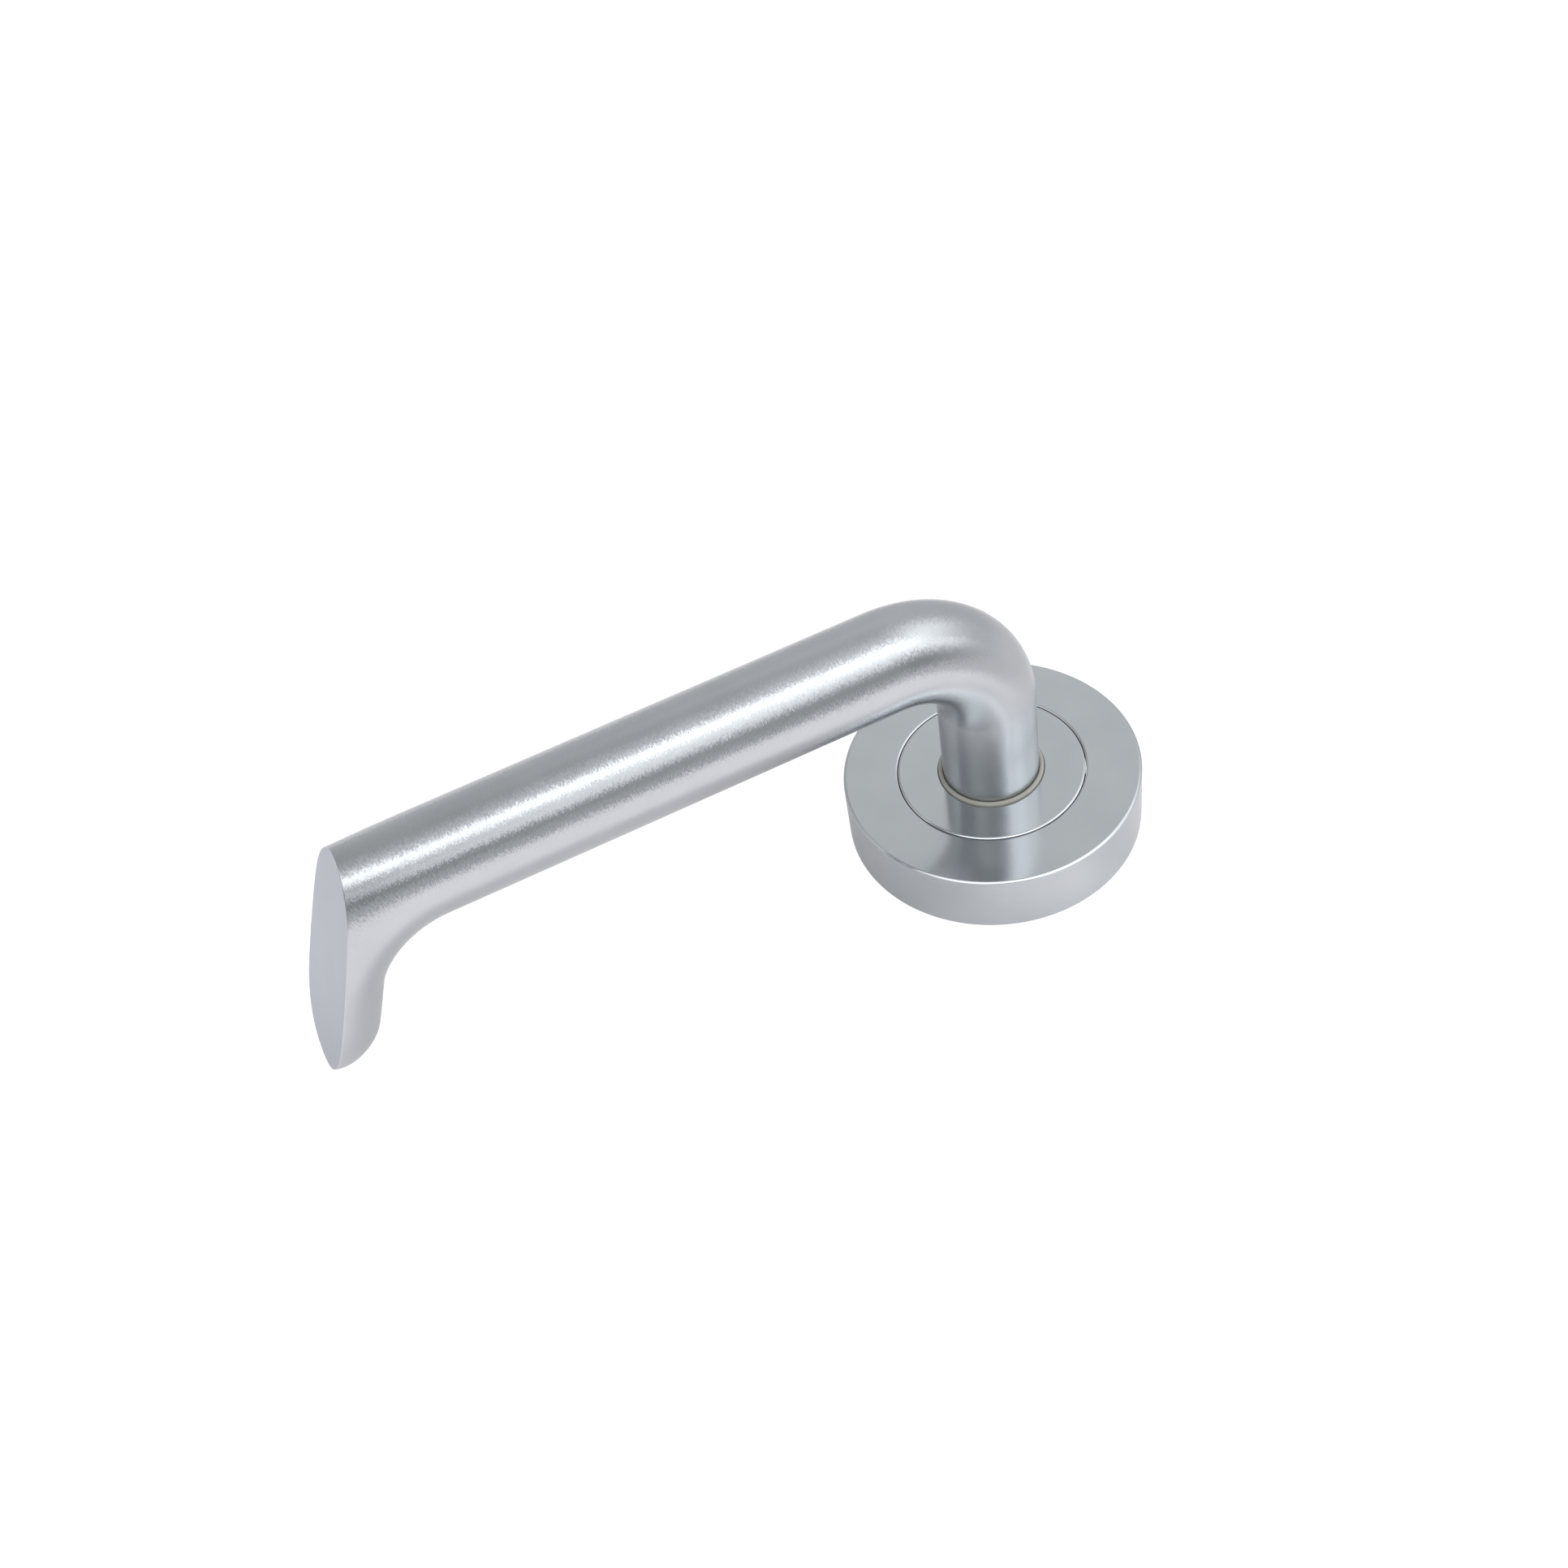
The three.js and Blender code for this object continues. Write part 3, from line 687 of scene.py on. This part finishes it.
    def rounded_rim(self, rim, behind):
        """Rounds the flat end's edge over and returns the loop where the flat face starts."""
        normal = Vector((-math.cos(END_TILT), 0, math.sin(END_TILT)))
        size = len(rim)
        places = [v.co.copy() for v in rim]
        on_face, on_side = [], []
        for k, v in enumerate(rim):
            tangent = (places[(k + 1) % size] - places[k - 1]).normalized()
            back = behind[v].co - v.co
            reach = min(EDGE_R * MM, EDGE_ROOM * back.length)
            back = (back - tangent * back.dot(tangent)).normalized()
            on_face.append(places[k] + normal.cross(tangent).normalized() * reach)
            on_side.append(places[k] + back * reach)
        loops = [rim]
        for step in range(1, EDGE_STEPS + 1):
            t = step / EDGE_STEPS
            loops.append([
                self.copy(curve(side, place, face, t), v)
                for v, side, place, face in zip(rim, on_side, places, on_face)
            ])
        for v, spot in zip(rim, on_side):
            v.co = spot
        for here, there in zip(loops, loops[1:]):
            self.quads(here, there, closed=True)
        return loops[-1]

    def flat_end(self, edge):
        """Faces of the flat end: strips across it from one side of its edge to the other."""
        half = len(edge) // 2
        strips = []
        for k in range(1, half):
            a, b = edge[k], edge[-k]
            shares = [c / FACE_COLUMNS for c in range(1, FACE_COLUMNS)]
            strips.append([a, *(self.copy(a.co.lerp(b.co, share), a) for share in shares), b])
        faces = []
        for here, there in zip(strips, strips[1:]):
            for c in range(FACE_COLUMNS):
                faces.append(self.bm.faces.new((here[c], here[c + 1], there[c + 1], there[c])))
        first, last = strips[0], strips[-1]
        for c in range(FACE_COLUMNS):
            faces.append(self.bm.faces.new((edge[0], first[c + 1], first[c])))
        for c in range(FACE_COLUMNS):
            faces.append(self.bm.faces.new((edge[half], last[c], last[c + 1])))
        return faces

    def unroll(self):
        """The UV map: along the bar and round it, in metres."""
        for face in self.bm.faces:
            spots = [loop.vert[self.brush] for loop in face.loops]
            wraps = [math.atan2(spot.z, spot.y) for spot in spots]
            low = min(wraps)
            for loop, spot, wrap in zip(face.loops, spots, wraps):
                if wrap - low > math.pi:
                    wrap -= 2 * math.pi
                loop[self.uv].uv = (spot.x, wrap * BAR_R * MM)

    def build(self):
        rows, along = self.neck_and_grip()
        rows += self.end_bend(along)
        for here, there in zip(rows, rows[1:]):
            self.quads(here, there, closed=True)
        last, before = rows[-1], rows[-2]
        side = 2 * HALF_LINES
        leg, tip = self.leg([*last[side:], last[0]], along + END_BEND_R * END_TURN)

        # The rim of the flat end goes from the tip up one side and down the other.
        up, down = [row[-1] for row in reversed(leg[1:])], [row[0] for row in leg[1:]]
        rim = [tip, *up, *last[: side + 1], *down]
        behind = {last[j]: before[j] for j in range(side + 1)}
        for row in leg:
            behind[row[-1]] = row[-2]
            behind[row[0]] = row[1]
        behind[tip] = leg[-1][len(leg[-1]) // 2]
        flat_faces = self.flat_end(self.rounded_rim(rim, behind))

        self.bm.faces.new(list(reversed(rows[0])))
        bmesh.ops.recalc_face_normals(self.bm, faces=self.bm.faces)
        for face in flat_faces:
            face.material_index = 1
        self.unroll()
        return finished_mesh(self.bm, "lever_bar")


def cut(mesh, cutter_mesh):
    """The mesh with another cut out of it."""
    work = bpy.data.objects.new("work", mesh)
    tool = bpy.data.objects.new("tool", cutter_mesh)
    for obj in (work, tool):
        bpy.context.scene.collection.objects.link(obj)
    modifier = work.modifiers.new("cut", "BOOLEAN")
    modifier.operation = "DIFFERENCE"
    modifier.solver = "EXACT"
    modifier.object = tool
    graph = bpy.context.evaluated_depsgraph_get()
    made = bpy.data.meshes.new_from_object(work.evaluated_get(graph), depsgraph=graph)
    made.name = mesh.name
    for obj in (work, tool):
        bpy.data.objects.remove(obj)
    bpy.data.meshes.remove(cutter_mesh)
    return made


def socket_cutter():
    """The square hole for the spindle, up the neck, with rounded upright edges."""
    low = (-SOCKET_HALF, -SOCKET_HALF, 0)
    high = (SOCKET_HALF, SOCKET_HALF, SOCKET_TOP_Z)
    bm = bmesh.new()
    bmesh.ops.create_cube(bm, size=1)
    for v in bm.verts:
        v.co = Vector([lerp(low[i], high[i], v.co[i] + 0.5) * MM for i in range(3)])
    upright = [e for e in bm.edges if abs(e.verts[0].co.z - e.verts[1].co.z) > 1e-6]
    offset = SOCKET_EDGE * MM
    bmesh.ops.bevel(bm, geom=upright, offset=offset, segments=4, profile=0.5, affect="EDGES")
    return finished_mesh(bm, "cutter")


def grub_cutter():
    """The hole for the grub screw, from the neck's axis out through its hidden side."""
    length = BAR_R + 1
    bm = bmesh.new()
    bmesh.ops.create_cone(
        bm, cap_ends=True, segments=48,
        radius1=GRUB_HOLE_R * MM, radius2=GRUB_HOLE_R * MM, depth=length * MM,
    )
    for v in bm.verts:
        x, y, h = v.co
        v.co = Vector((x, h + length / 2 * MM, -y + GRUB_Z * MM))
    return finished_mesh(bm, "cutter")


def build_lever(bar, flat):
    mesh = cut(LeverSkin().build(), socket_cutter())
    mesh = cut(mesh, grub_cutter())
    smooth_by_angle(mesh, LEVER_SHARP_ANGLE)
    # Clearing the cutters' empty slots resets which faces take the flat end's steel.
    finish = [polygon.material_index for polygon in mesh.polygons]
    mesh.materials.clear()
    obj = new_object("lever_bar", mesh, (bar, flat), "lever", ("lever",))
    mesh.polygons.foreach_set("material_index", finish)
    weight_normals(obj)


# ---------- the rose ----------


def measure(node):
    """A turned node's outer radius, lowest and highest height, in mm."""
    low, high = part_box(node)
    return high.x / MM, low.z / MM, high.z / MM


def build_rose(turned, plastic):
    """Cover ring, centre disc and bush: the CAD shapes with finely finished edges."""
    seam_inner, _, z1 = measure("centre_disc")
    radius, z0, _ = measure("rose_cover")
    flange, flange_z0, top = measure("neck_bush")
    wall, under = radius - SHEET, z1 - SHEET
    seam = seam_inner + SEAM_HALF_GAP
    seam_out, seam_in = seam + SEAM_LIP, seam - SEAM_LIP
    flange_z1 = flange_z0 + FLANGE_T
    disc_r, bush_in = BUSH_R + DISC_PLAY, BAR_R + BUSH_PLAY
    cover = lathe_mesh("rose_cover_ring", [
        (wall, z0, 0.2), (radius, z0, 0.25), (radius, z1 - FACET_DEPTH, 0.1),
        (radius - FACET, z1, 0.12), (seam_out + SEAM_FACET, z1, 0.1),
        (seam_out, z1 - SEAM_DEPTH, 0.06), (seam_out, under, 0.1), (wall, under, 0.6),
    ], 360)
    disc = lathe_mesh("rose_centre_disc", [
        (disc_r, under, 0.1), (seam_in, under, 0.1), (seam_in, z1 - SEAM_DEPTH, 0.06),
        (seam_in - SEAM_FACET, z1, 0.1), (disc_r, z1, 0.1),
    ], 300)
    bush = lathe_mesh("bush_with_bead", [
        (bush_in, flange_z0, 0.1), (flange, flange_z0, 0.15), (flange, flange_z1, 0.15),
        (BUSH_R, flange_z1, 0.1), (BUSH_R, top, BEAD_ROUND), (bush_in, top, BEAD_ROUND),
    ], 200)
    for mesh, material, body, slot, node in (
        (cover, turned, "cover", "turned_steel", "rose_cover"),
        (disc, turned, "rose", "turned_steel", "centre_disc"),
        (bush, plastic, "rose", "nylon", "neck_bush"),
    ):
        weight_normals(new_object(mesh.name, mesh, (material,), body, (node,)))


# ---------- floor, light, camera ----------


def build_stage():
    bm = bmesh.new()
    bmesh.ops.create_grid(bm, x_segments=FLOOR_ROWS, y_segments=FLOOR_ROWS, size=FLOOR_SIZE / 2)
    mesh = finished_mesh(bm, "floor")
    mesh.materials.append(painted_floor())
    floor = bpy.data.objects.new("floor", mesh)
    bpy.context.scene.collection.objects.link(floor)


def softbox_share(m, direction, height):
    """1 for directions inside the softbox, falling softly to 0 at its edges."""
    inside = 1.0
    for (ax, ay), (bx, by) in zip(SOFTBOX, SOFTBOX[1:] + SOFTBOX[:1]):
        ex, ey = bx - ax, by - ay
        length = math.hypot(ex, ey)
        edge = (ey / length, -ex / length, (ay * ex - ax * ey) / length)
        across = m.vector_number("DOT_PRODUCT", direction, edge)
        reach = m.math("DIVIDE", across, m.math("MAXIMUM", height, LOWEST_HEIGHT))
        inside = m.math("MULTIPLY", inside, m.smooth(reach, -SOFTBOX_EDGE, SOFTBOX_EDGE))
    return inside


def build_world():
    """A grey studio with a softbox in front and softer lights and shades around it."""
    world = bpy.data.worlds.new("studio")
    bpy.context.scene.world = world
    world.use_nodes = True
    m = Nodes(world.node_tree)
    direction = m.node("ShaderNodeTexCoord").outputs["Generated"]
    height = m.xyz(direction)[2]
    sky = m.math("MULTIPLY_ADD", softbox_share(m, direction, height), SOFTBOX_LIGHT, SKY)
    for azimuth, elevation, tightness, strength in LIGHTS:
        a, e = math.radians(azimuth), math.radians(elevation)
        towards = (math.cos(e) * math.cos(a), math.cos(e) * math.sin(a), math.sin(e))
        facing = m.vector_number("DOT_PRODUCT", direction, towards)
        glow = m.math("EXPONENT", m.math("MULTIPLY_ADD", facing, tightness, -tightness))
        sky = m.math("MULTIPLY_ADD", glow, strength, sky)
    sky = m.math("MAXIMUM", sky, 0.0)
    tinted = m.colour(*(m.math("MULTIPLY", sky, tint) for tint in SKY_TINT))
    background = m.tree.nodes["Background"]
    m.feed(background.inputs["Color"], m.colour_between(m.seen_by_camera(), tinted, WHITE))
    background.inputs["Strength"].default_value = 1.0


def build_camera():
    data = bpy.data.cameras.new("camera")
    data.sensor_width = 36
    data.lens = LENS
    data.clip_start, data.clip_end = 0.01, 20
    camera = bpy.data.objects.new("camera", data)
    camera.location = CAMERA_AT
    camera.rotation_euler = Euler([math.radians(a) for a in CAMERA_TURN], "XYZ")
    bpy.context.scene.collection.objects.link(camera)
    bpy.context.scene.camera = camera


def dress(names, material):
    """Gives CAD nodes a material, with smooth shading between their sharp edges."""
    for name in names:
        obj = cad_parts[name]
        smooth_by_angle(obj.data, CAD_SHARP_ANGLE)
        obj.data.materials.clear()
        obj.data.materials.append(material)


plastic = nylon()
plated = cast_metal("plated_steel", (0.42, 0.43, 0.44), (0.52, 0.53, 0.54), 0.32, 1.0, 2200.0)
oxide = cast_metal("black_oxide", (0.02, 0.02, 0.022), (0.045, 0.045, 0.05), 0.42, 0.6, 2600.0)
zinc = cast_metal("cast_zinc", (0.30, 0.31, 0.33), (0.40, 0.41, 0.43), 0.48, 1.0, 1400.0)
build_lever(bar_steel(), flat_steel())
build_rose(turned_steel(), plastic)
dress(["spindle", "rotor", "wave_washer", "return_spring", "stop_pin_1", "stop_pin_2"], plated)
dress(["fixing_lug_upper", "fixing_lug_lower"], plated)
dress(["circlip", "grub_screw"] + [f"housing_screw_{i}" for i in range(1, 5)], oxide)
dress(["spring_housing", "base_plate"], zinc)
dress(["cover_grip_ring"], plastic)
build_stage()
build_world()
build_camera()
bpy.context.scene.view_settings.view_transform = "Standard"
